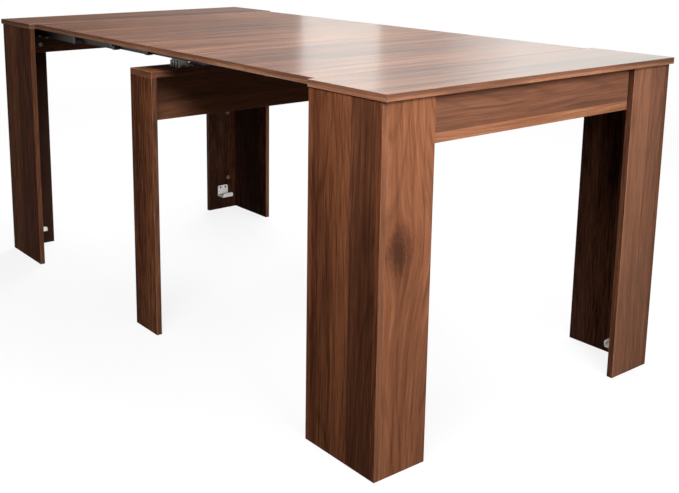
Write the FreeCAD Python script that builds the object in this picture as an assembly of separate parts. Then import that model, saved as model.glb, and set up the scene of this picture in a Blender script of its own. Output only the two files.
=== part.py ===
"""Extending console table.

Two end frames, one middle frame and three loose leaves stand on a pair of
telescopic slides. Each slide is seven bars side by side; the tongue of one bar
runs in the slot of the next, so six steps carry the far end frame from closed
to fully extended. The model is drawn extended, with uneven steps as in use.

Length runs along X (near end at +X), width along Y, height along Z.
The origin is on the floor under the middle of the top. Lengths are in mm.
"""
import os

import FreeCAD
import Part

V = FreeCAD.Vector

# Top and boards
HEIGHT = 760.0
TOP_WIDTH = 900.0
BOARD = 15.0
END_DEPTH = 225.0
LEAF_DEPTH = 449.6
LEAF_COUNT = 3
SEAM = 0.3
EDGE = 0.7

# End frames
END_OVERHANG = 10.0
SIDE_OVERHANG = 2.0
MEETING_GAP = 2.0
CORNER_WIDTH = 135.0
APRON_HEIGHT = 97.0

# Middle frame
MID_DEPTH = 110.0
MID_SHIFT = -27.0
MID_CLEAR = 3.0
BEAM_HEIGHT = 118.0

# Slides: bars side by side, each with a tongue on its outer side and a slot on its inner side
BAR_HEIGHT = 30.0
BAR_PITCH = 17.0
BAR_INSET = 80.0
BAR_END_GAP = 5.0
RUN_GAP = 0.3
NECK_DEPTH = 3.0
NECK_HEIGHT = 7.0
HEAD_DEPTH = 3.4
HEAD_HEIGHT = 14.0
WALL = 9.0
BLOCK_LENGTH = 14.0
BLOCK_DROP = 1.5
BLOCK_RECESS = 8.0
DIMPLE_DEPTH = 2.0
DIMPLE_WIDTH = 5.0

# Bracket that carries the middle frame under the fourth bar
BRACKET_HEIGHT = 20.0
BRACKET_LENGTH = 46.0
BRACKET_WIDTH = 27.0
BRACKET_SETBACK = 28.0
BRACKET_PAD = 3.0
BRACKET_RECESS = 4.0
FLANGE_WIDTH = 17.0
FLANGE_HEIGHT = 4.0

# Hooks for the stored leaves
HOOK_WIDTH = 43.0
HOOK_HEIGHT = 39.0
HOOK_FLOOR = 52.0
HOOK_SEAT = 1.2
HOOK_SHELF = 4.2
HOOK_LIP = 16.0
HOOK_ROUND = 6.0
HOOK_SPARE = 1.4

# Screws, cams, bolts and dowels
FIT = 0.1
SCREW_WIDTH = 4.0
SCREW_HEAD = 7.4
SCREW_HEAD_DEPTH = 2.4
SCREW_DRIVE = 3.2
COVER_WIDTH = 13.0
COVER_DEPTH = 1.8
CAM_WIDTH = 15.0
CAM_SETBACK = 34.0
CAM_PROUD = 0.6
BOLT_WIDTH = 6.0
DOWEL_WIDTH = 7.0
DOWEL_LENGTH = 28.0

# Places along a length, and depths into a board, as shares
CAM_HEIGHT_SHARES = (0.158, 0.495, 0.832)
DOWEL_SHARES = (0.28, 0.72)
BAR_SCREW_SHARES = (0.16, 0.5, 0.84)
DIMPLE_SHARES = (0.28, 0.35, 0.42, 0.49, 0.56, 0.63)
BAR_PLACE_SHARES = (0.0, 0.145, 0.26, 0.45, 0.63, 0.82, 1.0)
BLOCK_RECESS_WIDTH_SHARE = 0.6
BLOCK_RECESS_HEIGHT_SHARE = 0.5
GROOVE_SHARES = (0.22, 0.5, 0.78)
GROOVE_WIDTH_SHARE = 0.12
RECESS_RIM_SHARE = 0.14
COVER_SHARES = (0.27, 0.79)
BRACKET_SCREW_SHARES = (0.2, 0.8)
HOOK_SCREW_SHARES = (0.24, 0.76)
HOOK_SCREW_HEIGHT_SHARE = 0.81
BOARD_BITE_SHARE = 0.66
CAM_DEPTH_SHARE = 0.8
DRIVE_SHARE = 0.5
PICK_SHARE = 0.1
BAR_BITE_SHARE = 0.3
APRON_COVER_SHARE = 0.27

# Worked-out sizes
PICK = EDGE * PICK_SHARE
UNDER = HEIGHT - BOARD
TOP_LENGTH = 2 * END_DEPTH + LEAF_COUNT * LEAF_DEPTH + (LEAF_COUNT + 1) * SEAM
TRAVEL = LEAF_COUNT * (LEAF_DEPTH + SEAM)
BAR_COUNT = len(BAR_PLACE_SHARES)
BITE = BOARD * BOARD_BITE_SHARE
CAM_DEPTH = BOARD * CAM_DEPTH_SHARE
LEG_WIDTH = TOP_WIDTH - 2 * SIDE_OVERHANG
INNER_WIDTH = LEG_WIDTH - 2 * BOARD
MID_WIDTH = INNER_WIDTH - 2 * MID_CLEAR
SIDE_DEPTH = END_DEPTH - END_OVERHANG - MEETING_GAP
END_PANEL_WIDTH = CORNER_WIDTH - BOARD
END_X = TOP_LENGTH / 2
FACE_X = END_X - END_OVERHANG
PANEL_X = FACE_X - BOARD
APRON_X = PANEL_X - BOARD
BAR_LENGTH = 2 * END_DEPTH + SEAM - 2 * (END_X - APRON_X) - 2 * BAR_END_GAP
BAR_BOTTOM = UNDER - BAR_HEIGHT
BAR_MID_Z = UNDER - BAR_HEIGHT / 2
BAR_BODY = BAR_PITCH - RUN_GAP
SLOT_DEPTH = NECK_DEPTH + HEAD_DEPTH + RUN_GAP
BAR_Y = TOP_WIDTH / 2 - BAR_INSET
CAP_TOP = BAR_BOTTOM - BRACKET_HEIGHT
CAP_BOTTOM = CAP_TOP - BOARD
MID_BAR = (BAR_COUNT - 1) // 2
HOOK_WALL = HOOK_SEAT + SCREW_HEAD_DEPTH
HOOK_THROAT = 2 * BOARD + HOOK_SPARE
HOOK_REACH = 2 * HOOK_WALL + HOOK_THROAT
HOOK_Y = LEG_WIDTH / 2 - BOARD - END_PANEL_WIDTH / 2


def block(x0, x1, y0, y1, z0, z1):
    """A box between two corners."""
    return Part.makeBox(x1 - x0, y1 - y0, z1 - z0, V(x0, y0, z0))


def panel(x0, x1, y0, y1, z0, z1):
    """A board with eased edges."""
    shape = block(x0, x1, y0, y1, z0, z1)
    return shape.makeChamfer(EDGE, shape.Edges)


def rod(width, length, start, direction):
    """A round bar of the given width."""
    return Part.makeCylinder(width / 2, length, start, direction)


def bored(shape, holes):
    """The shape with round holes taken out."""
    return shape.cut(Part.makeCompound(holes)) if holes else shape


def flip_x(shape):
    """The same shape on the other end of the table."""
    return shape.mirror(V(0, 0, 0), V(1, 0, 0))


def flip_y(shape):
    """The same shape on the other side of the table."""
    return shape.mirror(V(0, 0, 0), V(0, 1, 0))


def both_sides(shapes):
    """Shapes drawn on the +Y side together with their copies on the -Y side."""
    return shapes + [flip_y(shape) for shape in shapes]


def screw(head_seat, direction, shaft):
    """A pan-head screw: the head sits on head_seat, the shaft runs along direction."""
    back = V(direction) * -1
    head = rod(SCREW_HEAD, SCREW_HEAD_DEPTH, head_seat, back)
    drive_depth = SCREW_HEAD_DEPTH * DRIVE_SHARE
    drive = rod(SCREW_DRIVE, drive_depth, head_seat + back * (SCREW_HEAD_DEPTH - drive_depth), back)
    return head.fuse(rod(SCREW_WIDTH, shaft, head_seat, direction)).cut(drive).removeSplitter()


def screw_hole(seat, direction, depth):
    """A clearance hole for a screw shaft."""
    return rod(SCREW_WIDTH + 2 * FIT, depth, seat, direction)


def head_hole(seat, direction):
    """A recess for a screw head."""
    return rod(SCREW_HEAD + 2 * FIT, SCREW_HEAD_DEPTH, seat, direction)


UP = V(0, 0, 1)
DOWN = V(0, 0, -1)
OUT_X = V(1, 0, 0)
IN_X = V(-1, 0, 0)
OUT_Y = V(0, 1, 0)


# End frame pieces, drawn for the near end; the far end is the mirror image

def cam_places():
    """Height of each cam and the Y of the cam and of the joint face, on the +Y side."""
    joint_y = LEG_WIDTH / 2 - BOARD
    return [(joint_y - CAM_SETBACK, joint_y, UNDER * share) for share in CAM_HEIGHT_SHARES]


def cams():
    """Round cam locks in the inner face of each end panel, each with a cross slot."""
    shapes = []
    for cam_y, joint_y, z in cam_places():
        start = V(PANEL_X + CAM_DEPTH, cam_y, z)
        body = rod(CAM_WIDTH, CAM_DEPTH + CAM_PROUD, start, IN_X)
        slot_start = V(PANEL_X - CAM_PROUD, cam_y, z)
        slot = rod(SCREW_DRIVE, CAM_PROUD, slot_start, OUT_X)
        shapes.append(body.cut(slot))
    return both_sides(shapes)


def bolts():
    """Cam bolts from the side panel into the edge of the end panel."""
    shapes = []
    for cam_y, joint_y, z in cam_places():
        end_y = cam_y + CAM_WIDTH / 2 + FIT
        start = V(PANEL_X + BOARD / 2, end_y, z)
        shapes.append(rod(BOLT_WIDTH, joint_y + BITE - end_y, start, OUT_Y))
    return both_sides(shapes)


def bolt_holes():
    """Holes for the cam bolts on the +Y side."""
    holes = []
    for cam_y, joint_y, z in cam_places():
        start = V(PANEL_X + BOARD / 2, cam_y, z)
        holes.append(rod(BOLT_WIDTH + 2 * FIT, joint_y + BITE - cam_y, start, OUT_Y))
    return holes


def cam_holes():
    """Blind bores for the cams on the +Y side."""
    wide = CAM_WIDTH + 2 * FIT
    return [rod(wide, CAM_DEPTH, V(PANEL_X, cam_y, z), OUT_X) for cam_y, joint_y, z in cam_places()]


def top_dowel_places():
    """Where dowels hold the end top on the side panels, on the +Y side."""
    y = LEG_WIDTH / 2 - BOARD / 2
    return [V(FACE_X - SIDE_DEPTH * share, y, UNDER + BITE) for share in DOWEL_SHARES]


def dowel_holes(places, direction):
    """Dowel holes as long as the dowels."""
    return [rod(DOWEL_WIDTH + 2 * FIT, DOWEL_LENGTH, place, direction) for place in places]


def cover_places():
    """Screws through the apron into the end panels, on the +Y side; each has a round cover."""
    joint_y = LEG_WIDTH / 2 - BOARD
    z = UNDER - APRON_HEIGHT + APRON_HEIGHT * APRON_COVER_SHARE
    return [V(APRON_X, joint_y - END_PANEL_WIDTH * share, z) for share in COVER_SHARES]


def cover(place):
    """A screw with a round flat cover."""
    head = rod(COVER_WIDTH, COVER_DEPTH, place, IN_X)
    return head.fuse(rod(SCREW_WIDTH, BOARD + BITE, place, OUT_X)).removeSplitter()


def hook_screw_places():
    """Seats of the two hook screws on the +Y side; the heads lie flush in the back plate."""
    z = HOOK_FLOOR + HOOK_HEIGHT * HOOK_SCREW_HEIGHT_SHARE
    x = PANEL_X - HOOK_SEAT
    y0 = HOOK_Y - HOOK_WIDTH / 2
    return [V(x, y0 + HOOK_WIDTH * share, z) for share in HOOK_SCREW_SHARES]


def hook():
    """A J-shaped hook on the inner face of an end panel: back plate, shelf and front lip."""
    y0 = HOOK_Y - HOOK_WIDTH / 2
    y1 = HOOK_Y + HOOK_WIDTH / 2
    top = HOOK_FLOOR + HOOK_HEIGHT
    lip_top = HOOK_FLOOR + HOOK_LIP
    back = PANEL_X - HOOK_WALL
    front = PANEL_X - HOOK_REACH
    plate = block(back, PANEL_X, y0, y1, HOOK_FLOOR, top)
    plate = rounded(plate, top, HOOK_ROUND)
    lip = block(front, front + HOOK_WALL, y0, y1, HOOK_FLOOR, lip_top)
    lip = rounded(lip, lip_top, HOOK_ROUND)
    shelf = block(front, PANEL_X, y0, y1, HOOK_FLOOR, HOOK_FLOOR + HOOK_SHELF)
    shape = plate.fuse([lip, shelf]).removeSplitter()
    lower = [e for e in shape.Edges if is_across(e, HOOK_FLOOR, front)]
    shape = shape.makeFillet(HOOK_WALL, lower)
    holes = [screw_hole(place, OUT_X, HOOK_SEAT) for place in hook_screw_places()]
    holes = holes + [head_hole(place, IN_X) for place in hook_screw_places()]
    return bored(shape, holes)


def rounded(shape, top, radius):
    """The plate with its two upper corners rounded."""
    upper = []
    for edge in shape.Edges:
        box = edge.BoundBox
        if abs(box.ZMin - top) < PICK and box.YLength < PICK:
            upper.append(edge)
    return shape.makeFillet(radius, upper)


def is_across(edge, z, x):
    """True for a straight edge along Y at the given height and X."""
    box = edge.BoundBox
    level = abs(box.ZMin - z) < PICK and abs(box.ZMax - z) < PICK
    return level and abs(box.XMin - x) < PICK and abs(box.XMax - x) < PICK


def bar_screw_places(direction_sign, inner):
    """Seats of the screws that hold an end bar under the end top, on the +Y side."""
    x0 = APRON_X - BAR_END_GAP - BLOCK_LENGTH
    x1 = END_X - END_DEPTH
    index = BAR_COUNT - 1 if inner else 0
    side = -1 if inner else 1
    y = bar_y(index) + side * (BAR_BODY / 2 + WALL / 2)
    return [V(direction_sign * (x0 + (x1 - x0) * share), y, BAR_BOTTOM) for share in BAR_SCREW_SHARES]


def end_frame(name, flip, inner):
    """All pieces of one end frame by name."""
    side_y0 = LEG_WIDTH / 2 - BOARD
    side_x0 = FACE_X - SIDE_DEPTH
    covers = cover_places()
    cover_holes = [screw_hole(place, OUT_X, BOARD + BITE) for place in covers]
    hook_screws = hook_screw_places()
    dowels = top_dowel_places()

    side = panel(side_x0, FACE_X, side_y0, LEG_WIDTH / 2, 0, UNDER)
    side = bored(side, bolt_holes() + dowel_holes(dowels, DOWN))
    end = panel(PANEL_X, FACE_X, side_y0 - END_PANEL_WIDTH, side_y0, 0, UNDER)
    end_holes = cam_holes() + bolt_holes() + cover_holes
    end_holes = end_holes + [screw_hole(place, OUT_X, HOOK_SEAT + BITE) for place in hook_screws]
    end = bored(end, end_holes)
    apron = panel(APRON_X, PANEL_X, -side_y0, side_y0, UNDER - APRON_HEIGHT, UNDER)
    apron = bored(apron, both_sides(cover_holes))

    top = panel(END_X - END_DEPTH, END_X, -TOP_WIDTH / 2, TOP_WIDTH / 2, UNDER, HEIGHT)
    top = bored(top, both_sides(dowel_holes(dowels, DOWN)))
    bar_seats = bar_screw_places(1, inner)
    top = bored(top, both_sides([screw_hole(place, UP, BAR_HEIGHT + BITE) for place in bar_seats]))

    pieces = {
        "top": top,
        "side_right": side,
        "side_left": flip_y(side),
        "end_right": end,
        "end_left": flip_y(end),
        "apron": apron,
        "leaf_hooks": Part.makeCompound(both_sides([hook()])),
        "hook_screws": Part.makeCompound(both_sides(
            [screw(place, OUT_X, HOOK_SEAT + BITE) for place in hook_screws])),
        "cams": Part.makeCompound(cams()),
        "cam_bolts": Part.makeCompound(bolts()),
        "apron_screws": Part.makeCompound(both_sides([cover(place) for place in covers])),
        "dowels": Part.makeCompound(both_sides(
            [rod(DOWEL_WIDTH, DOWEL_LENGTH, place, DOWN) for place in dowels])),
        "bar_screws": Part.makeCompound(both_sides(
            [screw(place, UP, BAR_HEIGHT + BITE) for place in bar_seats])),
    }
    if flip:
        pieces = {key: flip_x(shape) for key, shape in pieces.items()}
    return {name + "_" + key: shape for key, shape in pieces.items()}


# Slides

def bar_y(index):
    """Middle of a bar's body on the +Y side; bar 0 is the outermost and belongs to the far end."""
    return BAR_Y - index * BAR_PITCH


def bar_x(index):
    """Middle of a bar along the table when extended."""
    return -TRAVEL / 2 + TRAVEL * BAR_PLACE_SHARES[index]


def bar_sides(index):
    """Inner and outer Y of a bar's body; the two end bars have a wall more to screw through."""
    y0 = bar_y(index) - BAR_BODY / 2
    y1 = bar_y(index) + BAR_BODY / 2
    inner = y0 - WALL if index == BAR_COUNT - 1 else y0
    outer = y1 + WALL if index == 0 else y1
    return inner, outer


def bar_section(index, x0, x1, bottom):
    """A stretch of one bar: body, tongue towards the outer bar, slot for the inner bar."""
    y0 = bar_y(index) - BAR_BODY / 2
    y1 = bar_y(index) + BAR_BODY / 2
    first = index == 0
    last = index == BAR_COUNT - 1
    inner, outer = bar_sides(index)
    shape = block(x0, x1, inner, outer, bottom, UNDER)
    if not first:
        neck_end = y1 + RUN_GAP + NECK_DEPTH
        neck = block(x0, x1, y1, neck_end, BAR_MID_Z - NECK_HEIGHT / 2, BAR_MID_Z + NECK_HEIGHT / 2)
        head = block(x0, x1, neck_end, neck_end + HEAD_DEPTH,
                     BAR_MID_Z - HEAD_HEIGHT / 2, BAR_MID_Z + HEAD_HEIGHT / 2)
        shape = shape.fuse([neck, head]).removeSplitter()
    if not last:
        half_neck = NECK_HEIGHT / 2 + RUN_GAP
        half_head = HEAD_HEIGHT / 2 + RUN_GAP
        neck = block(x0, x1, y0, y0 + NECK_DEPTH, BAR_MID_Z - half_neck, BAR_MID_Z + half_neck)
        head = block(x0, x1, y0 + NECK_DEPTH - RUN_GAP, y0 + SLOT_DEPTH,
                     BAR_MID_Z - half_head, BAR_MID_Z + half_head)
        shape = shape.cut(neck.fuse(head))
    return shape


def end_block(index, x0, x1, recess_x0):
    """The moulded end of a bar: a little deeper than the bar, with a square recess in its end face."""
    inner, outer = bar_sides(index)
    solid = inner if index == BAR_COUNT - 1 else inner + SLOT_DEPTH
    width = (outer - solid) * BLOCK_RECESS_WIDTH_SHARE
    height = BAR_HEIGHT * BLOCK_RECESS_HEIGHT_SHARE
    y0 = (solid + outer - width) / 2
    z0 = BAR_MID_Z - height / 2
    recess = block(recess_x0, recess_x0 + BLOCK_RECESS, y0, y0 + width, z0, z0 + height)
    return bar_section(index, x0, x1, BAR_BOTTOM - BLOCK_DROP).cut(recess)


def bar_pieces(index):
    """One aluminium bar and the plastic blocks at its two ends, on the +Y side."""
    x0 = bar_x(index) - BAR_LENGTH / 2
    x1 = bar_x(index) + BAR_LENGTH / 2
    bar = bar_section(index, x0 + BLOCK_LENGTH, x1 - BLOCK_LENGTH, BAR_BOTTOM)
    ends = [end_block(index, x0, x0 + BLOCK_LENGTH, x0),
            end_block(index, x1 - BLOCK_LENGTH, x1, x1 - BLOCK_RECESS)]
    holes = []
    if index == 0:
        holes = [screw_hole(place, UP, BAR_HEIGHT) for place in bar_screw_places(-1, False)]
        holes = holes + [rod(DIMPLE_WIDTH, DIMPLE_DEPTH, place, OUT_Y * -1) for place in dimple_places()]
    if index == BAR_COUNT - 1:
        holes = [screw_hole(place, UP, BAR_HEIGHT) for place in bar_screw_places(1, True)]
    if index == MID_BAR:
        holes = [screw_hole(place, UP, BRACKET_HEIGHT + bar_bite()) for place in riser_screw_places()]
    return bored(bar, holes), ends


def dimple_places():
    """Small round marks along the outer face of the outermost bar."""
    y = bar_y(0) + BAR_BODY / 2 + WALL
    length = BAR_LENGTH - 2 * BLOCK_LENGTH
    x0 = bar_x(0) - length / 2
    return [V(x0 + length * share, y, BAR_MID_Z) for share in DIMPLE_SHARES]


def slides():
    """Bars and end blocks of both slides by name."""
    pieces = {}
    for index in range(BAR_COUNT):
        bar, ends = bar_pieces(index)
        label = "bar" + str(index + 1)
        pieces[label + "_right"] = bar
        pieces[label + "_left"] = flip_y(bar)
        pieces[label + "_blocks"] = Part.makeCompound(both_sides(ends))
    return pieces


# Middle frame

MID_X0 = MID_SHIFT - MID_DEPTH / 2
MID_X1 = MID_SHIFT + MID_DEPTH / 2
BRACKET_X1 = MID_X1 - BRACKET_SETBACK
BRACKET_X0 = BRACKET_X1 - BRACKET_LENGTH
BRACKET_Y = bar_y(MID_BAR)
BRACKET_Y0 = BRACKET_Y - BRACKET_WIDTH / 2
BRACKET_Y1 = BRACKET_Y + BRACKET_WIDTH / 2


def bar_bite():
    """How far a riser screw goes into the fourth bar."""
    return BAR_HEIGHT * BAR_BITE_SHARE


def riser_screw_places():
    """Screws up through the bracket into the fourth bar; the heads sink into its underside."""
    y = BRACKET_Y + BAR_BODY / 2 - (BAR_BODY - SLOT_DEPTH) / 2
    z = CAP_TOP + SCREW_HEAD_DEPTH
    return [V(BRACKET_X0 + BRACKET_LENGTH * share, y, z) for share in BRACKET_SCREW_SHARES]


def plate_screw_places():
    """Screws down through the bracket's flange into the cap."""
    y = BRACKET_Y0 - FLANGE_WIDTH / 2
    z = CAP_TOP + FLANGE_HEIGHT
    return [V(BRACKET_X0 + BRACKET_LENGTH * share, y, z) for share in BRACKET_SCREW_SHARES]


def bracket_grooves():
    """Upright grooves in the outer face; what stands between them are ribs."""
    wide = BRACKET_LENGTH * GROOVE_WIDTH_SHARE
    grooves = []
    for share in GROOVE_SHARES:
        x0 = BRACKET_X0 + BRACKET_LENGTH * share - wide / 2
        grooves.append(block(x0, x0 + wide, BRACKET_Y1 - BRACKET_RECESS, BRACKET_Y1, CAP_TOP, BAR_BOTTOM))
    return grooves


def bracket_corners():
    """Two three-cornered recesses in each end face, with a slanting rib left between them."""
    rim = BRACKET_WIDTH * RECESS_RIM_SHARE
    low = CAP_TOP + FLANGE_HEIGHT
    high = BAR_BOTTOM - BRACKET_PAD - rim
    inner = BRACKET_Y0 + rim
    outer = BRACKET_Y1 - BRACKET_RECESS - rim
    upper = [(inner, high), (outer - rim, high), (inner, low + rim)]
    lower = [(outer, low), (inner + rim, low), (outer, high - rim)]
    recesses = []
    for corners in (upper, lower):
        for x in (BRACKET_X0, BRACKET_X1 - BRACKET_RECESS):
            points = [V(x, y, z) for y, z in corners]
            face = Part.Face(Part.makePolygon(points + points[:1]))
            recesses.append(face.extrude(OUT_X * BRACKET_RECESS))
    return recesses


def bracket():
    """A ribbed block with a narrow pad up to the fourth bar and a flange on the cap."""
    body = block(BRACKET_X0, BRACKET_X1, BRACKET_Y0, BRACKET_Y1, CAP_TOP, BAR_BOTTOM - BRACKET_PAD)
    body = body.cut(Part.makeCompound(bracket_grooves())).cut(Part.makeCompound(bracket_corners()))
    pad = block(BRACKET_X0, BRACKET_X1, BRACKET_Y - BAR_BODY / 2, BRACKET_Y + BAR_BODY / 2,
                BAR_BOTTOM - BRACKET_PAD, BAR_BOTTOM)
    flange = block(BRACKET_X0, BRACKET_X1, BRACKET_Y0 - FLANGE_WIDTH, BRACKET_Y0,
                   CAP_TOP, CAP_TOP + FLANGE_HEIGHT)
    shape = body.fuse([pad, flange]).removeSplitter()
    holes = [screw_hole(place, UP, BRACKET_HEIGHT) for place in riser_screw_places()]
    holes = holes + [head_hole(place, DOWN) for place in riser_screw_places()]
    holes = holes + [screw_hole(place, DOWN, FLANGE_HEIGHT) for place in plate_screw_places()]
    return bored(shape, holes)


def mid_frame():
    """All pieces of the middle frame by name."""
    half = MID_WIDTH / 2
    inner = half - BOARD
    beam_x0 = MID_SHIFT - BOARD / 2
    cap_y = half - BOARD / 2
    cap_dowels = [V(MID_X0 + MID_DEPTH * share, cap_y, CAP_BOTTOM + BITE) for share in DOWEL_SHARES]
    beam_z0 = CAP_BOTTOM - BEAM_HEIGHT
    beam_dowels = [V(MID_SHIFT, inner + BITE, beam_z0 + BEAM_HEIGHT * share) for share in DOWEL_SHARES]
    plate_holes = [screw_hole(place, DOWN, FLANGE_HEIGHT + BITE) for place in plate_screw_places()]

    side = panel(MID_X0, MID_X1, inner, half, 0, CAP_BOTTOM)
    side = bored(side, dowel_holes(cap_dowels, DOWN) + dowel_holes(beam_dowels, OUT_Y * -1))
    cap = panel(MID_X0, MID_X1, -half, half, CAP_BOTTOM, CAP_TOP)
    cap = bored(cap, both_sides(dowel_holes(cap_dowels, DOWN) + plate_holes))
    beam = panel(beam_x0, beam_x0 + BOARD, -inner, inner, beam_z0, CAP_BOTTOM)
    beam = bored(beam, both_sides(dowel_holes(beam_dowels, OUT_Y * -1)))

    pins = [rod(DOWEL_WIDTH, DOWEL_LENGTH, place, DOWN) for place in cap_dowels]
    pins = pins + [rod(DOWEL_WIDTH, DOWEL_LENGTH, place, OUT_Y * -1) for place in beam_dowels]
    plate_screws = [screw(place, DOWN, FLANGE_HEIGHT + BITE) for place in plate_screw_places()]
    riser = BRACKET_HEIGHT - SCREW_HEAD_DEPTH
    riser_screws = [screw(place, UP, riser + bar_bite()) for place in riser_screw_places()]
    one = bracket()
    return {
        "mid_side_right": side,
        "mid_side_left": flip_y(side),
        "mid_cap": cap,
        "mid_beam": beam,
        "mid_bracket_right": one,
        "mid_bracket_left": flip_y(one),
        "mid_dowels": Part.makeCompound(both_sides(pins)),
        "mid_plate_screws": Part.makeCompound(both_sides(plate_screws)),
        "mid_riser_screws": Part.makeCompound(both_sides(riser_screws)),
    }


# Loose leaves, counted from the near end

def leaves():
    """The three leaves by name."""
    pieces = {}
    for index in range(LEAF_COUNT):
        x1 = END_X - END_DEPTH - SEAM - index * (LEAF_DEPTH + SEAM)
        pieces["leaf" + str(index + 1)] = panel(
            x1 - LEAF_DEPTH, x1, -MID_WIDTH / 2, MID_WIDTH / 2, UNDER, HEIGHT)
    return pieces


def build():
    """Every piece of the table by name."""
    pieces = {}
    pieces.update(end_frame("near", False, True))
    pieces.update(end_frame("far", True, False))
    pieces.update(mid_frame())
    pieces.update(slides())
    pieces.update(leaves())
    return pieces


os.makedirs("parts", exist_ok=True)
for piece_name, piece in build().items():
    piece.exportStep(os.path.join("parts", piece_name + ".step"))
    print(piece_name, len(piece.Solids), round(piece.Volume))
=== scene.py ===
# %% [markdown]
# # An extending console table in walnut-print board
# The table is shown as it stands fully pulled out: two end frames, a middle frame, three loose
# leaves and two telescopic slides. Its boards, bars, hooks and screws come ready-made from the
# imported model, so this lesson is about finish and light. We give each piece the material that it
# has on the real table, add the slides' rivets, and then set up a floor, lamps and a camera.

# %% Load the table
import math
import random

import bmesh
import bpy
from mathutils import Matrix, Vector


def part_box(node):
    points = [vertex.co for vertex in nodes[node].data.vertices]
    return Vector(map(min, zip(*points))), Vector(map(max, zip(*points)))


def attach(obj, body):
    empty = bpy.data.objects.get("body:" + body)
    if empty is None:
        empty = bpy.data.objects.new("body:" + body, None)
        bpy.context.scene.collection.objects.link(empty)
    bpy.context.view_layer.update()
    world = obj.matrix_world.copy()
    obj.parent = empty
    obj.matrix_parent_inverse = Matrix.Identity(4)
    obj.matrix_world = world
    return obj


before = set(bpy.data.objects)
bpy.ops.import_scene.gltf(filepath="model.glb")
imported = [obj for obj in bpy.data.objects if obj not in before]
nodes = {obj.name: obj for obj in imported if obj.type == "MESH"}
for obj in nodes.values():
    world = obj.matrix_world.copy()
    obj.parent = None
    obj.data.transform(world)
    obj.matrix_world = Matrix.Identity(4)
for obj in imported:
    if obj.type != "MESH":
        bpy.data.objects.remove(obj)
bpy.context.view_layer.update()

# %% [markdown]
# ## Shader sums that read like sums
# A wood finish is a long chain of small sums: stretch a place along the grain, add a wobble, cut
# it into planks. Wiring each Math node by hand hides the idea. So a small class wraps a node's
# output and lets us write `1 - mask` or `place * 40`; each operator adds one Math node.


# %% A node output that can be added, scaled and smoothed
class Value:
    """One output socket in a node tree."""

    def __init__(self, recipe, socket):
        self.recipe = recipe
        self.socket = socket

    def __add__(self, other):
        return self.recipe.maths("ADD", self, other)

    def __sub__(self, other):
        return self.recipe.maths("SUBTRACT", self, other)

    def __rsub__(self, other):
        return self.recipe.maths("SUBTRACT", other, self)

    def __mul__(self, other):
        return self.recipe.maths("MULTIPLY", self, other)

    def __truediv__(self, other):
        return self.recipe.maths("DIVIDE", self, other)

    def __rtruediv__(self, other):
        return self.recipe.maths("DIVIDE", other, self)

    def __abs__(self):
        return self.recipe.maths("ABSOLUTE", self)

    __radd__ = __add__
    __rmul__ = __mul__

    def smooth(self, start, stop):
        """0 before start and 1 past stop, with a soft step between them."""
        settings = {"interpolation_type": "SMOOTHSTEP"}
        inputs = {"Value": self, "From Min": start, "From Max": stop}
        return self.recipe.node("ShaderNodeMapRange", settings, inputs)


print("values can be added, scaled and smoothed")

# %% [markdown]
# ## One method for every other node
# All other nodes, such as noise, ramps and bumps, come from one method. It takes the node's type,
# its settings and what goes into its sockets. The short helpers under it only save typing. Colours
# are written as three numbers; a colour socket also wants its alpha, so `feed` adds that.


# %% A node tree under construction
class Recipe:
    """A node tree and the one method that adds nodes to it."""

    def __init__(self, tree):
        self.tree = tree

    def node(self, kind, settings=None, inputs=None, output=0):
        made = self.tree.nodes.new(kind)
        for key, value in (settings or {}).items():
            if key == "stops":
                self.set_stops(made.color_ramp.elements, value)
            elif key == "steps":
                made.color_ramp.interpolation = value
            else:
                setattr(made, key, value)
        for key, value in (inputs or {}).items():
            self.feed(made.inputs[key], value)
        return Value(self, made.outputs[output])

    def set_stops(self, elements, stops):
        while len(elements) < len(stops):
            elements.new(1.0)
        for element, (position, colour) in zip(elements, stops):
            element.position = position
            element.color = (*colour, 1.0)

    def feed(self, socket, value):
        if isinstance(value, Value):
            self.tree.links.new(value.socket, socket)
        elif socket.type == "RGBA":
            socket.default_value = (*value, 1.0)
        else:
            socket.default_value = value

    def maths(self, operation, *numbers):
        return self.node("ShaderNodeMath", {"operation": operation}, dict(enumerate(numbers)))

    def largest(self, first, *others):
        for other in others:
            first = self.maths("MAXIMUM", first, other)
        return first

    def ramp(self, share, stops, steps="LINEAR"):
        return self.node("ShaderNodeValToRGB", {"stops": stops, "steps": steps}, {"Fac": share})

    def noise(self, x, y, z, detail, roughness=0.5):
        spot = self.node("ShaderNodeCombineXYZ", None, {"X": x, "Y": y, "Z": z})
        inputs = {"Vector": spot, "Scale": 1.0, "Detail": detail, "Roughness": roughness}
        return self.node("ShaderNodeTexNoise", None, inputs)

    def split(self, output):
        """X, Y and Z of the table's own coordinates, in metres, or of the way a face looks."""
        whole = self.node("ShaderNodeTexCoord", None, None, output)
        return {axis: self.node("ShaderNodeSeparateXYZ", None, {0: whole}, axis) for axis in "XYZ"}

    def mix(self, share, first, second):
        """A colour between two colours; a Mix node counts its colour sockets after others."""
        inputs = {0: share, 6: first, 7: second}
        return self.node("ShaderNodeMix", {"data_type": "RGBA"}, inputs, 2)

    def bump(self, height, distance):
        return self.node("ShaderNodeBump", None, {"Height": height, "Distance": distance})


print("recipes ready")

# %% [markdown]
# ## From a recipe to a dressed piece
# Each ready-made piece has slots for materials. A material could be built node by node in the
# editor; here a finish is a function that hands back what goes into the shader, socket by socket,
# so that the same finish can be made again with other numbers.


# %% Make a material and put it on pieces
def finish(name, make):
    """A new material whose shader gets what make(recipe) hands back, socket by socket."""
    material = bpy.data.materials.new(name)
    material.use_nodes = True
    recipe = Recipe(material.node_tree)
    shader = material.node_tree.nodes["Principled BSDF"]
    for key, value in make(recipe).items():
        recipe.feed(shader.inputs[key], value)
    return material


def wear(material, *names):
    """Puts a material on the named pieces."""
    for name in names:
        for slot in nodes[name].material_slots:
            slot.material = material


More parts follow.
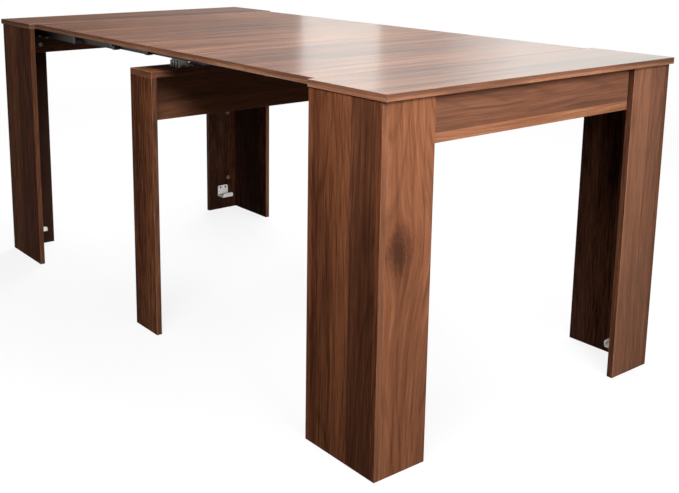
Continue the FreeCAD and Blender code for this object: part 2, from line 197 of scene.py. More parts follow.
print("slots to dress:", sum(len(piece.material_slots) for piece in nodes.values()))

# %% [markdown]
# ## Walnut print
# The boards are chipboard with a printed walnut film. The print shows narrow planks side by side,
# each in its own tone, with soft streaks, thin lines, growth rings that close into long arches, and
# short dark pores. The thin edges carry a separate band of film; on the tops, the lower half of the
# band is painted paler, a painted highlight of light from below. We could paint a picture for each
# board, but a picture is fixed in size. Noise that is stretched along the grain gives the same
# figure at any size, and every board can be different.

# %% Colours of the walnut, dark to light, in linear light
WALNUT = [
    (0.00, (0.008, 0.0025, 0.0013)),
    (0.12, (0.042, 0.0136, 0.0066)),
    (0.30, (0.083, 0.0272, 0.0122)),
    (0.55, (0.180, 0.0630, 0.0280)),
    (0.78, (0.290, 0.1150, 0.0530)),
    (1.00, (0.440, 0.2150, 0.1150)),
]
GREYER = (0.190, 0.104, 0.072)
print("walnut tones:", len(WALNUT), "and a greyer brown", GREYER)

# %% [markdown]
# ## Two kinds of film
# Legs, aprons and tops are the same walnut, but not the same film: that of the legs is warm and
# dull, that of the tops is greyer, has stronger streaks and lies under a clear coat. We could write
# a finish for each board. A list of settings is shorter: a board names only what is its own.

# %% Settings of the films
LEG_FILM = {
    "tones": (0.34, 0.60),  # the darkest and the palest plank, on a scale from 0 to 1
    "grey": 0.04,  # share of the greyer brown
    "streaks": 0.36,  # strength of the soft streaks
    "bands": 75.0,  # streaks in a metre across the grain
    "turns": 1.8,  # and along it
    "fibres": 1.00,  # strength of the thin lines
    "lines": 240.0,  # lines in a metre across the grain
    "strands": 14.0,  # and along it
    "sway": 0.024,  # how far the grain wanders sideways, in metres
    "darker": 0.32,  # painted shade: how much darker the inner face is
    "edge": 0.37,  # tone of the edge band
    "edge_grey": 0.26,  # the band's share of the greyer brown
    "rim": 0.0,  # painted highlight: how much paler the band's lower half is
    "corner_light": 0.24,  # painted highlight: how much paler a rounded corner is; below 0 it is painted shade
    "glossy": False,  # a clear coat on the flat faces
}
# On the tops, rounded corners get a little painted shade and the lower half of the edge band a
# painted highlight.
TOP_FILM = {
    **LEG_FILM, "tones": (0.50, 0.74), "grey": 0.36, "streaks": 2.20, "bands": 44.0, "turns": 2.0,
    "fibres": 0.80, "sway": 0.010, "edge_grey": 0.42, "rim": 0.30, "corner_light": -0.10, "glossy": True,
}
print("settings of a film:", ", ".join(LEG_FILM))

# %% [markdown]
# ## Planks side by side
# The print looks like solid boards glued from narrow planks. No plank has a joint that could be
# modelled, only a tone of its own. So a plank is a step in tone: a list of where each one starts,
# as a share of the board's width. Where the photograph doesn't show them, they are drawn by lot.

# %% Planks drawn by lot
PLANK_WIDTHS = (0.022, 0.080)


def plank_row(width, seed, tones):
    """Random planks over a board's width: where each starts, as a share, and its tone."""
    draw = random.Random(seed)
    start = 0.0
    row = []
    while start < width:
        row.append((start / width, draw.uniform(*tones)))
        start += draw.uniform(*PLANK_WIDTHS)
    return row


print("planks on a leaf:", len(plank_row(0.45, 1, TOP_FILM["tones"])))

# %% [markdown]
# ## A knot
# A knot is the foot of a branch: a soft dark spot with flecks, and grain that bows round it. A spot
# laid over the finished figure would look stuck on. So the noise that bends the grain bends the
# spot's border too, and the grain is pushed aside by two bell curves: a small one at the spot, and
# a tall one that grows towards one border of the panel.

# %% A knot in the figure
KNOT_SIZE = (0.036, 0.042)
KNOT_BEND = (1.4, 0.8)
KNOT_PUSH = 0.35
HEART_STEEP, HEART_DARK, HEART_FLECKS = 1.1, 0.30, 0.44
HALO_STEEP, HALO_LEVEL, HALO_FLECKS = 0.35, 0.38, 0.28
FLECK_TURNS = (150.0, 70.0, 80.0)
BOW_STEEP, BOW_REACH = 14.0, 0.055


def bell(recipe, square, steep):
    """1 in the middle and 0 far away, by the square of the distance."""
    return recipe.maths("EXPONENT", square * -steep)


def knot_marks(recipe, aside, along, share, wobble):
    """How dark a knot makes a place, and how far it pushes the grain aside."""
    across_turns, slant_turns, along_turns = FLECK_TURNS
    slant = aside * across_turns + along * slant_turns
    fleck = recipe.noise(slant, 0.0, along * along_turns, 3.0, 0.7)
    level = aside / KNOT_SIZE[0] + wobble * KNOT_BEND[0]
    upright = along / KNOT_SIZE[1] + wobble * KNOT_BEND[1]
    square = level * level + upright * upright
    halo = bell(recipe, square, HALO_STEEP)
    dark = bell(recipe, square, HEART_STEEP) * (HEART_DARK + (fleck - 0.5) * HEART_FLECKS)
    bow = bell(recipe, along * along, BOW_STEEP) * share * BOW_REACH
    return dark + halo * (fleck - HALO_LEVEL) * HALO_FLECKS, aside * halo * KNOT_PUSH + bow


print("knot:", KNOT_SIZE, "m, grain pushed aside by up to", BOW_REACH, "m")

# %% [markdown]
# ## Layers of the figure
# Walnut has a figure at many sizes: clouds of tone over a hand's width, streaks, thin lines, growth
# rings, and pores finer than a hair. One noise can't give them all. So each layer is a noise of its
# own, squeezed across the grain and stretched along it. The rings come from a slow noise that is
# cut into steps, so that they close into arches as on a sawn board.

# %% Noise that is stretched along the grain
# Turns in a metre across the grain and along it, detail and, where it has its own, roughness.
WANDER = (5.0, 2.2, 2.0)
CLOUD = (10.0, 1.1, 3.0)
RING_SLOPE = (7.0, 0.8, 0.0)
PORES = (950.0, 34.0, 1.0)
STREAK_DETAIL = (3.0, 0.55)
LINE_DETAIL = (3.0, 0.7)
RING_COUNT, RING_CUT = 17.0, (0.30, 0.50)
PORE_CUT = (0.60, 0.74)
PALEST_STREAK = 0.05


def stretched(recipe, place, shift, across, along, detail, roughness=0.5):
    """Noise at a place on a board: across the grain, in the board's depth and along the grain."""
    side, deep, run = place
    return recipe.noise(side * across + shift, deep * across, run * along, detail, roughness)


def figure(recipe, place, shift, film):
    """The layers of one board's figure: cloud, streak, line, ring and pore."""
    side, deep, run = place
    cloud = stretched(recipe, place, shift, *CLOUD)
    streak = stretched(recipe, place, shift, film["bands"], film["turns"], *STREAK_DETAIL)
    streak = recipe.maths("MINIMUM", streak - 0.5, PALEST_STREAK)
    line = stretched(recipe, place, shift, film["lines"], film["strands"], *LINE_DETAIL)
    steps = recipe.maths("FRACT", stretched(recipe, place, shift, *RING_SLOPE) * RING_COUNT)
    ring = abs(steps - 0.5).smooth(*RING_CUT)
    fine, long, detail = PORES
    pore = recipe.noise(side * fine, deep * fine, run * long + shift, detail).smooth(*PORE_CUT)
    return cloud, streak, line, ring, pore


print("pores in a metre across the grain:", PORES[0], "and along it:", PORES[1])

# %% [markdown]
# ## Which strip a face wears
# On the real board the film on the faces and the band on the edges are separate strips. We could
# cut the board's faces apart and give each its own material. Here the way a face looks tells the
# shader which strip it wears, so one material dresses the whole board. It also tells where a corner
# is rounded, for a painted highlight.

# %% Cut ends, edge bands and rounded corners
END_FACE, BAND_FACE, ROUND_CORNER = (0.75, 0.85), (0.55, 0.45), (0.90, 0.80)


def strips(recipe, facing, grain, depth):
    """1 on the ends of the grain, 1 on the edge band, and 1 where a corner is rounded."""
    end_cut = abs(facing[grain]).smooth(*END_FACE)
    band = abs(facing[depth]).smooth(*BAND_FACE)
    corner = recipe.largest(*(abs(facing[axis]) for axis in "XYZ")).smooth(*ROUND_CORNER)
    return end_cut, band, corner


print("edge bands end where a face leans by", BAND_FACE)

# %% [markdown]
# ## Gloss and touch of the film
# The film is dull, with pores pressed into it, and only the tops have a clear coat. From the side,
# even a weak mirror image greys a dark colour, so that of the film itself is nearly off. The pores
# are too fine to model; a shallow bump and a little roughness show them.

# %% Gloss and bump
PRINT_ROUGH, LINE_ROUGH, PORE_ROUGH = 0.36, 0.12, 0.08
PRINT_MIRROR, COAT_ROUGH = 0.003, 0.20
LINE_HEIGHT, PORE_HEIGHT, PRINT_DEPTH = 0.35, 0.65, 0.00006


def sheen(recipe, line, pore, band, glossy):
    """What the film's shader gets besides its colour."""
    return {
        "Roughness": PRINT_ROUGH + (line - 0.5) * LINE_ROUGH + pore * PORE_ROUGH,
        "Specular IOR Level": PRINT_MIRROR,
        "Coat Weight": 1.0 - band if glossy else 0.0,
        "Coat Roughness": COAT_ROUGH,
        "Normal": recipe.bump(line * LINE_HEIGHT - pore * PORE_HEIGHT, PRINT_DEPTH),
    }


print("depth of the print:", PRINT_DEPTH, "m")

# %% [markdown]
# ## The finish of one board
# Now the parts come together. Each place on a board gets one number from dark to light: its plank's
# tone, plus the layers of the figure, less the knot. That number picks a colour from the walnut
# tones, and a share of the greyer brown is mixed in. Adding numbers and choosing the colour last
# keeps every tone a walnut tone, which mixing colours layer by layer wouldn't.

# %% Walnut print on a board
INNER_FACE, LOWER_HALF = (0.6, 0.8), (0.0085, 0.0060)
TONE_SHIFT, SEED_SHIFT = 71.3, 3.7
TONE_SHARE, CLOUD_SHARE, RING_SHARE, PORE_SHARE = 0.80, 0.45, 0.10, 0.10
MIDDLE_TONE, DARKEST_TONE = 0.50, 0.13
GREY_BY_TONE, GREY_BY_CLOUD = 0.4, 0.2


def walnut(node, grain, across, seed, back=0, planks=None, knot=None, film=LEG_FILM, **changes):
    """Walnut print with its grain along one axis and its planks side by side along another."""
    film = {**film, **changes}
    depth = (set("XYZ") - {grain, across}).pop()
    low, high = (dict(zip("XYZ", corner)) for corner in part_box(node))
    width = high[across] - low[across]
    planks = planks or plank_row(width, seed, film["tones"])

    def make(recipe):
        spot, facing = recipe.split("Object"), recipe.split("Normal")
        end_cut, band, corner = strips(recipe, facing, grain, depth)
        run = spot[grain] + (spot[across] - spot[grain]) * end_cut
        side = spot[across] + (spot[grain] - spot[across]) * end_cut
        deep = spot[depth]
        share = (spot[across] - low[across]) / width
        tone = recipe.ramp(share, [(at, (t, t, t)) for at, t in planks], "CONSTANT")
        tone = tone + (film["edge"] - tone) * band
        shift = tone * TONE_SHIFT + seed * SEED_SHIFT

        wander = stretched(recipe, (side, deep, run), shift, *WANDER) - 0.5
        side = side + wander * film["sway"]
        dark = 0.0
        if knot:
            aside, along = spot[across] - knot[0], spot[grain] - knot[1]
            dark, push = knot_marks(recipe, aside, along, share, wander)
            side = side - push
        cloud, streak, line, ring, pore = figure(recipe, (side, deep, run), shift, film)

        value = MIDDLE_TONE + (tone - 0.5) * TONE_SHARE + (cloud - 0.5) * CLOUD_SHARE
        value = value + streak * film["streaks"] + (line - 0.5) * film["fibres"]
        value = value - ring * RING_SHARE - pore * PORE_SHARE - dark
        # painted light: rounded corners are painted paler as a painted highlight; on the tops they
        # are painted a little darker, as painted shade
        lower = (deep - low[depth]).smooth(*LOWER_HALF)
        # painted highlight: on the tops and the cap, the lower half of the edge band is painted
        # paler, as light from below
        value = value + corner * film["corner_light"] + band * lower * film["rim"]
        value = recipe.largest(value, DARKEST_TONE)
        # painted shade: faces that look inwards are painted darker, where shade falls under the
        # table
        if back:
            value = value - (facing[depth] * back).smooth(*INNER_FACE) * film["darker"]

        greyed = film["grey"] - (tone - 0.5) * GREY_BY_TONE
        greyed = greyed + (film["edge_grey"] - greyed) * band + (cloud - 0.5) * GREY_BY_CLOUD
        colour = recipe.mix(greyed, recipe.ramp(value, WALNUT), GREYER)
        return {"Base Color": colour, **sheen(recipe, line, pore, band, film["glossy"])}

    wear(finish("walnut_" + node, make), node)


print("walnut ready; no face but an inner one is darker than", DARKEST_TONE)

# %% [markdown]
# ## Which way each board runs
# On tops and leaves the grain lies across the table, on legs it stands upright, and on aprons, cap
# and beam it follows the length of the piece. The faces that look inwards are painted darker, as
# painted shade under the table. The near left leg faces the camera, so its planks are listed one by
# one: a mid-brown field, a dark plank by the corner and slim planks at both borders. The panel
# round the corner from it has the knot, and both aprons have a pale plank along their lower border.

# %% Legs and aprons of the near end
NEAR_LEFT = [(0.0, 0.48), (0.06, 0.37), (0.16, 0.44), (0.36, 0.50), (0.60, 0.21), (0.935, 0.38)]
NEAR_KNOT = [(0.0, 0.58), (0.84, 0.57)]
NEAR_RIGHT = [(0.0, 0.58), (0.12, 0.55), (0.55, 0.50)]
APRON = [(0.0, 0.76), (0.21, 0.47), (0.62, 0.50)]
KNOT_SPOT = (-0.402, 0.458)

# painted shade: the darker share paints each board's inner faces darker, 0.32 unless set here
walnut("near_side_left", "Z", "X", 1, back=1, planks=NEAR_LEFT, grey=-0.08, edge=0.56,
       fibres=0.72, strands=9.0)
walnut("near_end_left", "Z", "Y", 2, back=-1, planks=NEAR_KNOT, knot=KNOT_SPOT, grey=0.15,
       fibres=0.70, strands=7.0)
walnut("near_side_right", "Z", "X", 3, back=-1, darker=0.25)
# painted shade: this leg's edge band is set darker, as little light reaches it
walnut("near_end_right", "Z", "Y", 4, back=-1, planks=NEAR_RIGHT, grey=0.42, edge=0.20,
       edge_grey=0.10, streaks=0.25, fibres=0.85)
walnut("near_apron", "Y", "Z", 5, back=-1, planks=APRON, grey=0.34, streaks=0.30, fibres=0.90,
       lines=210.0, strands=6.0)
print("knot at", KNOT_SPOT, "on a panel with", len(NEAR_KNOT), "planks")

# %% Legs and aprons of the far end, and the middle frame
BEAM = [(0.0, 0.60), (0.36, 0.48)]

# painted shade: the far legs' inner faces are painted darker than the near ones, as they lie deeper
# in shade
walnut("far_side_left", "Z", "X", 7, back=1, tones=(0.30, 0.54), grey=-0.08, darker=0.60,
       edge=0.28, edge_grey=0.15)
walnut("far_end_left", "Z", "Y", 8, back=1, darker=0.58)
# painted highlight: this leg's edge band is set paler than on the other legs
walnut("far_side_right", "Z", "X", 9, back=-1, darker=0.38, edge=0.62)
walnut("far_end_right", "Z", "Y", 10, back=1, darker=0.50)
walnut("far_apron", "Y", "Z", 11, back=1, planks=APRON, grey=0.30)
walnut("mid_side_left", "Z", "X", 13, back=1, tones=(0.26, 0.54), grey=-0.06, streaks=0.60,
       fibres=1.30)
walnut("mid_side_right", "Z", "X", 14, back=-1)
# painted highlight: the cap's edge band is painted paler on its lower half
walnut("mid_cap", "Y", "X", 15, back=-1, tones=(0.46, 0.64), rim=0.15)
walnut("mid_beam", "Y", "Z", 16, planks=BEAM, grey=0.25, fibres=0.6)
print("boards dressed:", sum(m.name.startswith("walnut_") for m in bpy.data.materials))

# %% Tops and leaves
# Each leaf: its seed, the tones of its planks and the tone of its edge band.
LEAVES = {
    "leaf1": (17, (0.46, 0.68), 0.50),
    "leaf2": (18, (0.60, 0.84), 0.48),
    "leaf3": (19, (0.58, 0.84), 0.48),
}

walnut("near_top", "Y", "X", 6, back=-1, film=TOP_FILM, tones=(0.40, 0.54), edge=0.44)
walnut("far_top", "Y", "X", 12, back=-1, film=TOP_FILM, edge=0.46)
for leaf, (seed, tones, edge) in LEAVES.items():
    walnut(leaf, "Y", "X", seed, back=-1, film=TOP_FILM, tones=tones, edge=edge)
print("boards dressed:", sum(m.name.startswith("walnut_") for m in bpy.data.materials))

# %% [markdown]
# ## Dark bars
# The slides are aluminium bars, pressed through a die and anodised almost black. The die leaves
# faint lines along the bar. A grooved mesh would need millions of faces for them. So gloss, colour
# and bump follow one noise that is stretched along the bar.

# %% Bars
DIE_LINES = (2.5, 1500.0, 1500.0)
DULL_PATCHES = (9.0, 60.0, 60.0)
DIE_DEPTH = 0.00004


def speckle(recipe, turns, detail):
    """Noise in the table's own coordinates, with its turns in a metre along X, Y and Z."""
    spot = recipe.split("Object")
    return recipe.noise(*(spot[axis] * scale for axis, scale in zip("XYZ", turns)), detail)


def anodised(recipe):
    lines = speckle(recipe, DIE_LINES, 3.0)
    dull = speckle(recipe, DULL_PATCHES, 3.0)
    return {
        "Base Color": recipe.mix(lines, (0.027, 0.023, 0.022), (0.074, 0.064, 0.062)),
        "Metallic": 0.45,
        "Specular IOR Level": 0.25,
        "Roughness": 0.34 + lines * 0.18 + dull * 0.12,
        "Normal": recipe.bump(lines, DIE_DEPTH),
    }


BAR_COUNT = 7
bar_finish = finish("anodised_bar", anodised)
for stage in range(1, BAR_COUNT + 1):
    wear(bar_finish, "bar%d_right" % stage, "bar%d_left" % stage)
print("bars dressed:", 2 * BAR_COUNT)

# %% [markdown]
# ## Moulded plastic
# The blocks at the bar ends, the hooks and the caps are moulded plastic. A mould with a spark-worn
# surface leaves a fine grain, and the colour is never quite even. One recipe serves them all: two
# tones, mixed by soft clouds, and a fine noise for gloss and bump. The hooks low on the legs, which
# hold the spare leaves, are white; cam locks have brown caps and apron screws pale grey ones.

# %% Blocks, hooks and caps
PLASTIC_CLOUD, PLASTIC_GRAIN = (55.0, 55.0, 55.0), (1900.0, 1900.0, 1900.0)
PLASTIC_DEPTH = 0.00005


def moulded(dark, pale, rough):
    """Moulded plastic between two colours, with a fine grain."""
    def make(recipe):
        cloud = speckle(recipe, PLASTIC_CLOUD, 3.0)
        grain = speckle(recipe, PLASTIC_GRAIN, 1.0)
        return {
            "Base Color": recipe.mix(cloud.smooth(0.25, 0.75), dark, pale),
            "Roughness": rough + (grain - 0.5) * 0.16 + (cloud - 0.5) * 0.10,
            "Normal": recipe.bump(grain, PLASTIC_DEPTH),
        }
    return make


ENDS = ("near", "far")
dark_grey = moulded((0.030, 0.030, 0.032), (0.070, 0.070, 0.073), rough=0.45)
white = moulded((0.73, 0.70, 0.68), (0.84, 0.81, 0.79), rough=0.30)
brown = moulded((0.12, 0.062, 0.038), (0.19, 0.104, 0.066), rough=0.45)
pale_grey = moulded((0.33, 0.32, 0.31), (0.46, 0.45, 0.44), rough=0.42)
block_finish, hook_finish = finish("grey_block", dark_grey), finish("white_hook", white)
brown_finish, pale_finish = finish("brown_cap", brown), finish("pale_cap", pale_grey)
wear(block_finish, *("bar%d_blocks" % stage for stage in range(1, BAR_COUNT + 1)))
for end in ENDS:
    wear(hook_finish, end + "_leaf_hooks")
    wear(brown_finish, end + "_cams")
    wear(pale_finish, end + "_apron_screws")
print("plastic groups dressed:", BAR_COUNT + 3 * len(ENDS))

# %% [markdown]
# ## Brackets and screws
# Grey steel brackets tie the middle frame to the slides. Screws are zinc-plated, dull at the middle
# frame and blackened in the hooks. Polished metal would shine too much here: handling leaves fine
# scratches and dull patches. So the tone goes with the patches, and gloss and bump also with the
# scratches.

# %% Steel parts
STEEL_PATCHES, STEEL_SCRATCHES = (90.0, 90.0, 90.0), (120.0, 2400.0, 2400.0)
SCRATCH_DEPTH = 0.00003


def steel(dark, pale, metallic, rough):
    """Plated or painted steel between two tones, with faint scratches and dull patches."""
    def make(recipe):
        patch = speckle(recipe, STEEL_PATCHES, 4.0)
        scratch = speckle(recipe, STEEL_SCRATCHES, 2.0)
        return {
            "Base Color": recipe.mix(patch.smooth(0.3, 0.7), dark, pale),
            "Metallic": metallic,
            "Roughness": rough + (patch - 0.5) * 0.25 + (scratch - 0.5) * 0.15,
            "Normal": recipe.bump(scratch, SCRATCH_DEPTH),
        }
    return make


painted = steel((0.28, 0.25, 0.235), (0.48, 0.43, 0.40), metallic=0.5, rough=0.42)
zinc = steel((0.46, 0.46, 0.47), (0.66, 0.66, 0.67), metallic=0.9, rough=0.34)
dull_zinc = steel((0.16, 0.16, 0.16), (0.30, 0.30, 0.30), metallic=0.7, rough=0.48)
blackened = steel((0.020, 0.019, 0.018), (0.050, 0.048, 0.046), metallic=0.5, rough=0.45)
bracket_finish, zinc_finish = finish("grey_bracket", painted), finish("zinc_screw", zinc)
dull_finish, black_finish = finish("dull_screw", dull_zinc), finish("black_screw", blackened)
wear(bracket_finish, "mid_bracket_right", "mid_bracket_left")
wear(dull_finish, "mid_plate_screws", "mid_riser_screws")
for end in ENDS:
    wear(black_finish, end + "_hook_screws")
    wear(zinc_finish, end + "_cam_bolts", end + "_bar_screws")
print("steel groups dressed:", 4 + 3 * len(ENDS))

# %% [markdown]
# ## Dowels
# Plain beech dowels tie tops and panels together. Beech is pale and even, with short darker flecks.
# The dowels stand upright, so the noise is stretched along Z, and a second one gives the flecks.

# %% Beech
BEECH_STREAKS, BEECH_FLECKS = (420.0, 420.0, 40.0), (1500.0, 1500.0, 260.0)
BEECH_DEPTH = 0.00008


def beech(recipe):
    streak = speckle(recipe, BEECH_STREAKS, 4.0)
    fleck = speckle(recipe, BEECH_FLECKS, 1.0).smooth(0.6, 0.7)
    colour = recipe.mix(streak, (0.50, 0.33, 0.19), (0.70, 0.51, 0.34))
    return {
        "Base Color": recipe.mix(fleck * 0.4, colour, (0.36, 0.21, 0.11)),
        "Roughness": 0.55 + streak * 0.2,
        "Normal": recipe.bump(streak - fleck * 0.5, BEECH_DEPTH),
    }


wear(finish("beech_dowel", beech), "near_dowels", "far_dowels", "mid_dowels")
bare = [name for name, piece in nodes.items()
        if any(slot.material is None for slot in piece.material_slots)]
print("pieces still bare:", bare)

# %% [markdown]
# ## Rivets in the outermost bars
# A row of dull rivet heads lies in the round dimples of the two outermost bars. They are turned
# parts: a flat face with a rounded rim. A ready-made cylinder would have a sharp rim. So we draw
# half the outline of one head, spin it round its own axis and set it into each dimple. The bars'
# boxes tell where the dimples are.

# %% Spin one rivet
RIVET_OUTLINE = [(0.0, 0.0014), (0.0012, 0.0014), (0.0019, 0.0011), (0.0022, 0.0006), (0.0022, 0.0)]
RIVET_SIDES = 20


def rivet(mesh, middle, outward):
    """Adds one head to a mesh: rings of its outline round the Y axis, from middle to rim."""
    rings = []
    for radius, height in RIVET_OUTLINE:
        ring = []
        for count in range(RIVET_SIDES if radius else 1):
            angle = 2 * math.pi * count / RIVET_SIDES
            x, z = radius * math.cos(angle), radius * math.sin(angle)
            ring.append(mesh.verts.new((middle.x + x, middle.y + outward * height, middle.z + z)))
        rings.append(ring)
    for inner, outer in zip(rings, rings[1:]):
        for count in range(RIVET_SIDES):
            after = (count + 1) % RIVET_SIDES
            corners = [outer[count], outer[after]]
            corners += inner if len(inner) == 1 else [inner[after], inner[count]]
            mesh.faces.new(corners if outward < 0 else corners[::-1])


print("rivet head:", 2 * RIVET_OUTLINE[-1][0], "m across")

# %% Place the rivets
RIVET_SHARES = (0.28, 0.35, 0.42, 0.49, 0.56, 0.63)
DIMPLE_DEPTH = 0.002


def put(name, data):
    """A new object with a mesh, a lamp or a camera in it, placed in the scene."""
    holder = bpy.data.objects.new(name, data)
    bpy.context.scene.collection.objects.link(holder)
    return holder


heads = bmesh.new()
for name, outward in (("bar1_left", -1), ("bar1_right", 1)):
    low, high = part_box(name)
    y = (low[1] if outward < 0 else high[1]) - outward * DIMPLE_DEPTH
    z = (low[2] + high[2]) / 2
    for share in RIVET_SHARES:
        rivet(heads, Vector((low[0] + (high[0] - low[0]) * share, y, z)), outward)
rivet_mesh = bpy.data.meshes.new("bar_rivets")
heads.to_mesh(rivet_mesh)
heads.free()
rivet_mesh.materials.append(dull_finish)
rivets = put("bar_rivets", rivet_mesh)
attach(rivets, "far_frame")
print("rivets:", 2 * len(RIVET_SHARES), "faces:", len(rivet_mesh.polygons))

# %% [markdown]
# ## Floor and surroundings
# The table stands on a plain pale floor that runs out of view. A camera ray sees the floor partly
# as plain white, so it stays pale far away, and partly as a lit surface, so the table keeps its
# shadow. Brighter lamps would whiten the floor too, but they would bleach the table. For light that
# bounces, the floor is dark, so the undersides stay in shade. The world is white where it is seen
# or mirrored, and dimmer where it only adds light.

# %% Helpers for the surroundings
WHITE = (1.0, 1.0, 1.0)


def seen(recipe):
    """1 for rays that show a thing to the eye, straight or mirrored, and 0 for its light."""
    rays = ("Is Camera Ray", "Is Glossy Ray", "Is Transmission Ray")
    return recipe.largest(*(recipe.node("ShaderNodeLightPath", None, None, ray) for ray in rays))


def glow(recipe, colour):
    """A surface that shows one colour, whatever the light."""
    return recipe.node("ShaderNodeEmission", None, {"Color": colour, "Strength": 1.0})


def flat(name, corners, make):
    """A four-cornered sheet whose surface is what make(recipe) hands back."""
    material = bpy.data.materials.new(name)
    material.use_nodes = True
    recipe = Recipe(material.node_tree)
    recipe.feed(material.node_tree.nodes["Material Output"].inputs["Surface"], make(recipe))
    mesh = bpy.data.meshes.new(name)
    mesh.from_pydata(corners, [], [(0, 1, 2, 3)])
    mesh.materials.append(material)
    return put(name, mesh)


print("background colour:", WHITE)

# %% Floor and world
FLOOR_REACH = 40.0
FLOOR_WHITE, FLOOR_FADE = 0.84, (1.4, 4.5)
FLOOR_SPECKLES, FLOOR_TONES = 120.0, ((0.76, 0.76, 0.76), (0.82, 0.82, 0.82))
FLOOR_BOUNCE = (0.12, 0.12, 0.12)
AMBIENT = 0.07


def pale_floor(recipe):
    eye = seen(recipe)
    spot = recipe.split("Object")
    away = recipe.maths("SQRT", spot["X"] * spot["X"] + spot["Y"] * spot["Y"])
    white = FLOOR_WHITE + (1.0 - FLOOR_WHITE) * away.smooth(*FLOOR_FADE)
    speckles = recipe.node("ShaderNodeTexNoise", None, {"Scale": FLOOR_SPECKLES, "Detail": 3.0})
    tint = recipe.mix(eye, FLOOR_BOUNCE, recipe.mix(speckles, *FLOOR_TONES))
    inputs = {"Base Color": tint, "Roughness": 1.0, "Specular IOR Level": 0.0}
    lit = recipe.node("ShaderNodeBsdfPrincipled", None, inputs)
    plain = glow(recipe, WHITE)
    return recipe.node("ShaderNodeMixShader", None, {0: eye * white, 1: lit, 2: plain})


signs = ((-1, -1), (1, -1), (1, 1), (-1, 1))
floor = flat("floor", [(x * FLOOR_REACH, y * FLOOR_REACH, 0.0) for x, y in signs], pale_floor)

world = bpy.data.worlds.new("white_studio")
world.use_nodes = True
bpy.context.scene.world = world
sky = Recipe(world.node_tree)
background = world.node_tree.nodes["Background"]
sky.feed(background.inputs["Color"], WHITE)
sky.feed(background.inputs["Strength"], AMBIENT + (1.0 - AMBIENT) * seen(sky))
print("floor reach:", FLOOR_REACH, "ambient:", AMBIENT)

# %% [markdown]
# ## Lamps
# A broad lamp like a window stands off the near end, so the end panels are bright. A weaker one
# near the camera gives the long side half-shade that fades towards the far end. A small low one
# reaches the hooks at the far end. A fourth hangs overhead and fills the top; it is the only one
# that the glossy top mirrors. A fifth stands behind the table for its back. Small lamps would be
# simpler to place, but large ones give soft shadows; their power is set so that a colour shows
# about as it is written.


# %% Five soft lamps
def soft_lamp(name, spot, aim, size, power, mirrored=False, spread=180.0):
    """A rectangular lamp that the camera doesn't see."""
    lamp = bpy.data.lights.new(name, "AREA")
    lamp.shape = "RECTANGLE"
    lamp.size, lamp.size_y = size
    lamp.energy = power
    lamp.spread = math.radians(spread)
    holder = put(name, lamp)
    holder.location = spot
    holder.rotation_euler = (Vector(aim) - Vector(spot)).to_track_quat("-Z", "Y").to_euler()
    holder.visible_camera = False
    holder.visible_glossy = mirrored
    print(name, "at", spot, "with", power, "W")


soft_lamp("window_lamp", (2.05, -0.25, 1.35), (0.8, 0.0, 0.5), (1.2, 0.8), 41.0)
soft_lamp("side_lamp", (1.0, -1.2, 1.85), (0.4, 0.0, 0.4), (1.0, 0.6), 40.0)
soft_lamp("low_lamp", (0.5, 0.0, 0.35), (-0.87, 0.0, 0.15), (0.4, 0.2), 2.0, spread=44.0)
soft_lamp("ceiling_lamp", (-0.5, 1.1, 3.0), (-0.3, 0.1, 0.7), (2.6, 1.6), 90.0, mirrored=True)
soft_lamp("back_lamp", (-2.5, 1.9, 2.3), (-0.4, 0.2, 0.4), (1.6, 1.2), 70.0)

# %% [markdown]
# ## Camera
# The camera stands off the near left corner, a little above the top. Its place, turn and lens come
# from a fit of the table's corners to the photograph; guesses by eye would bend the whole table.
# The shift slides the picture in its frame, as the photograph is cropped off-centre; it is kept as
# small as the framing allows.

# %% Place the camera
CAMERA_SPOT = (2.1575, -1.6247, 1.0444)
CAMERA_RIGHT = (0.602479, 0.798121, 0.004735)
CAMERA_UP = (-0.160907, 0.115649, 0.980171)
CAMERA_BACK = (0.781747, -0.591294, 0.198099)
SENSOR_WIDTH, FOCAL_LENGTH = 36.0, 52.2
FRAME_SHIFT = (0.0804, -0.1742)

lens = bpy.data.cameras.new("camera")
lens.sensor_fit = "HORIZONTAL"
lens.sensor_width = SENSOR_WIDTH
lens.lens = FOCAL_LENGTH
lens.shift_x, lens.shift_y = FRAME_SHIFT
camera = put("camera", lens)
turn = Matrix((CAMERA_RIGHT, CAMERA_UP, CAMERA_BACK)).transposed()
camera.matrix_world = Matrix.Translation(CAMERA_SPOT) @ turn.to_4x4()
bpy.context.scene.camera = camera
bpy.context.scene.view_settings.view_transform = "Standard"
print("camera at", CAMERA_SPOT, "lens", FOCAL_LENGTH, "mm")

# %% [markdown]
# ## What the glossy top mirrors
# Seen at a low angle, the satin top mirrors the room behind the table: a dark wall that grows paler
# towards a window, more wall, and a second, wider window. A whole room would take long to build and
# would change the light. So upright cards stand far behind the table, and only mirrored rays see
# them. Where a wall fades, it is a row of narrow cards.

# %% Cards that only mirrored rays see
CARD_DISTANCE = 7.0
CARD_LOW, PANE_LOW, CARD_HIGH = 0.0, 1.4, 5.0
FADE_STEPS = 8


def card(name, start, stop, colour, low=CARD_LOW, high=CARD_HIGH):
    """An upright card behind the table, from one compass direction of the camera to another."""
    feet = []
    for angle in (math.radians(start), math.radians(stop)):
        way = Vector((math.cos(angle), math.sin(angle), 0.0))
        feet.append(Vector(CAMERA_SPOT) + way * CARD_DISTANCE)
    corners = [(f.x, f.y, z) for z, row in ((low, feet), (high, feet[::-1])) for f in row]
    holder = flat(name, corners, lambda recipe: glow(recipe, colour))
    for ray in ("camera", "diffuse", "transmission", "shadow"):
        setattr(holder, "visible_" + ray, False)


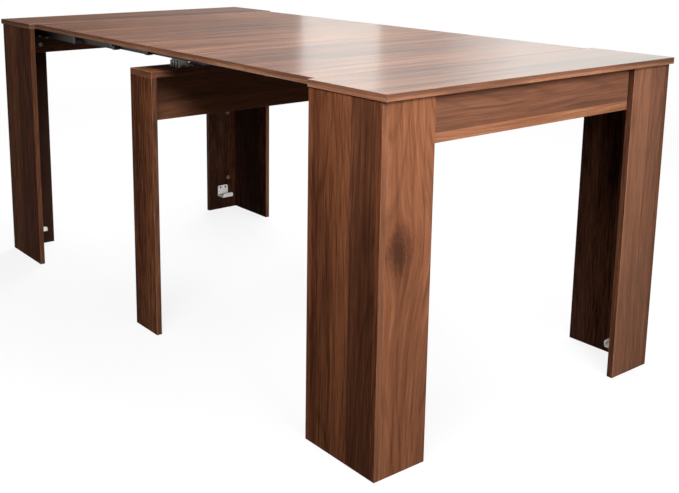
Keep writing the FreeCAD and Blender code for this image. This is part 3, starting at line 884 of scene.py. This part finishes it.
def fade(name, start, stop, first, last, low=CARD_LOW, high=CARD_HIGH):
    """A row of narrow cards whose colour goes from one to another."""
    turn = (stop - start) / FADE_STEPS
    for step in range(FADE_STEPS):
        share = (step + 0.5) / FADE_STEPS
        colour = [a + (b - a) * share for a, b in zip(first, last)]
        left = start + turn * step
        card("%s_%d" % (name, step), left, left + turn, colour, low, high)


print("cards stand", CARD_DISTANCE, "m from the camera")

# %% Walls and windows
# Where walls and windows meet, in degrees, from the left to the right of the mirrored room.
ROOM_LEFT, DARK_END, LEFT_START, LEFT_END, FADE_START, RIGHT_START, ROOM_RIGHT = (
    175.0, 155.0, 141.95, 137.4, 134.0, 129.5, 105.0)
DARK_WALL, PALER_WALL = (0.10, 0.10, 0.10), (0.32, 0.32, 0.32)
LEFT_PANE, LEFT_PANE_TOP = (0.97, 1.04, 1.02), (1.21, 1.27, 1.23)
WALL, WALL_TOP = (0.40, 0.40, 0.40), (0.60, 0.62, 0.61)
RIGHT_PANE, RIGHT_PANE_TOP = (1.05, 1.14, 1.12), (1.18, 1.29, 1.27)

card("left_wall", DARK_END, ROOM_LEFT, DARK_WALL)
fade("left_wall_fade", DARK_END, LEFT_START, DARK_WALL, PALER_WALL)
card("left_pane", LEFT_END, LEFT_START, LEFT_PANE, high=PANE_LOW)
card("left_pane_top", LEFT_END, LEFT_START, LEFT_PANE_TOP, low=PANE_LOW)
card("middle_wall", FADE_START, LEFT_END, WALL, high=PANE_LOW)
card("middle_wall_top", FADE_START, LEFT_END, WALL_TOP, low=PANE_LOW)
fade("middle_wall_fade", FADE_START, RIGHT_START, WALL, RIGHT_PANE, high=PANE_LOW)
fade("middle_wall_top_fade", FADE_START, RIGHT_START, WALL_TOP, RIGHT_PANE_TOP, low=PANE_LOW)
card("right_pane", ROOM_RIGHT, RIGHT_START, RIGHT_PANE, high=PANE_LOW)
card("right_pane_top", ROOM_RIGHT, RIGHT_START, RIGHT_PANE_TOP, low=PANE_LOW)
print("mirrored room from", ROOM_LEFT, "to", ROOM_RIGHT, "degrees")
